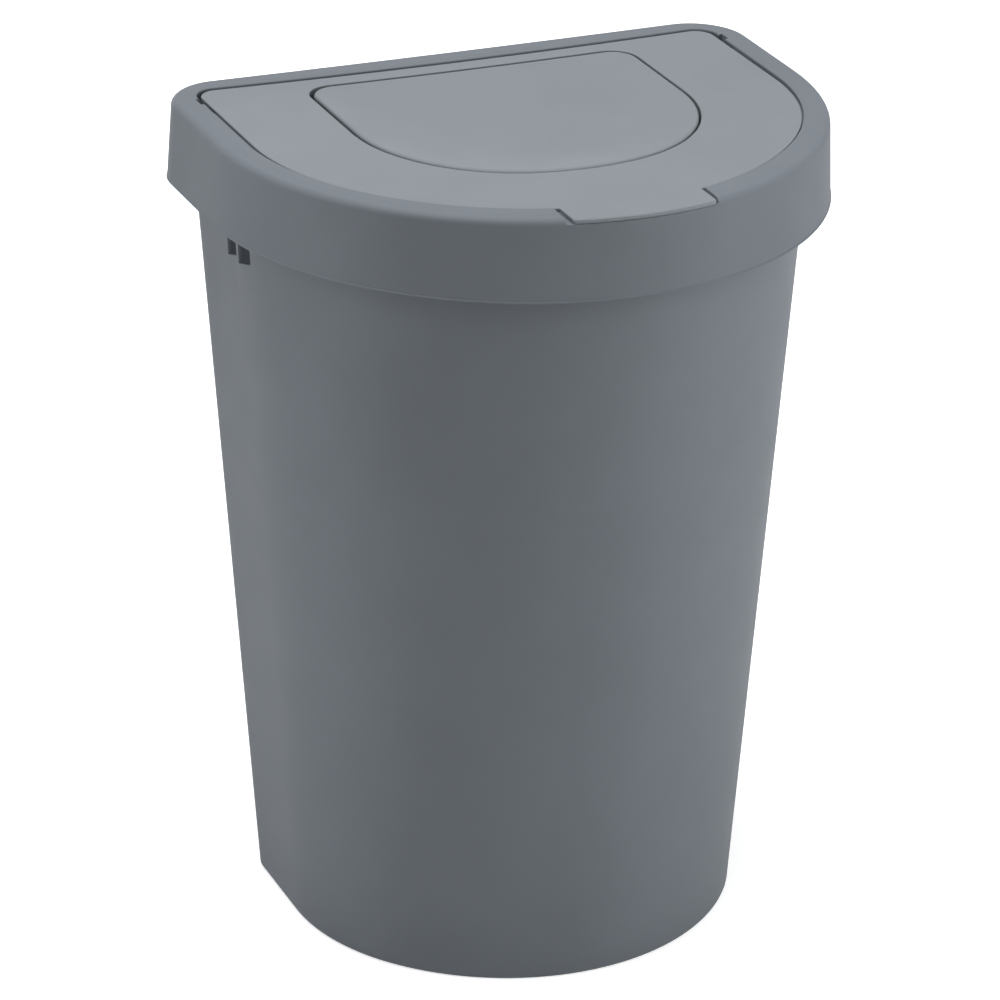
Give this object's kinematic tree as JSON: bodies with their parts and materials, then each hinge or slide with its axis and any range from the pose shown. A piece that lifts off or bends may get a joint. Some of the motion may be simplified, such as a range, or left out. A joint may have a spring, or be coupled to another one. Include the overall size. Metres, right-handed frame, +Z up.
{
  "type": "swing-lid trash can",
  "caption": "Tall D-shaped waste bin with a straight back, a lift-off collar, a lid hinged at the rear with a front tab, and a dished flap that swings both ways.",
  "frame": {"origin": "on the floor, under the middle of the collar's outline", "axes": "+Z up the bin, -Y towards the round front with the lid's tab, +Y towards the straight back, +X to the right of a person who faces the front"},
  "size_m": [0.4498, 0.3472, 0.6],
  "materials": {
    "body_plastic": "satin moulded polypropylene, slate grey",
    "lid_plastic": "satin moulded polypropylene, slate grey"
  },
  "bodies": {
    "tub": {"tub": "body_plastic"},
    "collar": {"collar": "body_plastic"},
    "lid": {"lid": "lid_plastic"},
    "flap": {"flap": "lid_plastic"}
  },
  "joints": [
    {"name": "collar_lift", "type": "slide", "parent": "tub", "child": "collar", "axis": [0, 0, 1], "range_m": [0, 0.06]},
    {"name": "lid_hinge", "type": "hinge", "parent": "collar", "child": "lid", "pos_m": [0, 0.1279, 0.59], "axis": [-1, 0, 0], "range_deg": [0, 120]},
    {"name": "flap_swing", "type": "hinge", "parent": "lid", "child": "flap", "pos_m": [0, 0.03466, 0.5945], "axis": [1, 0, 0], "range_deg": [-85, 85]}
  ]
}
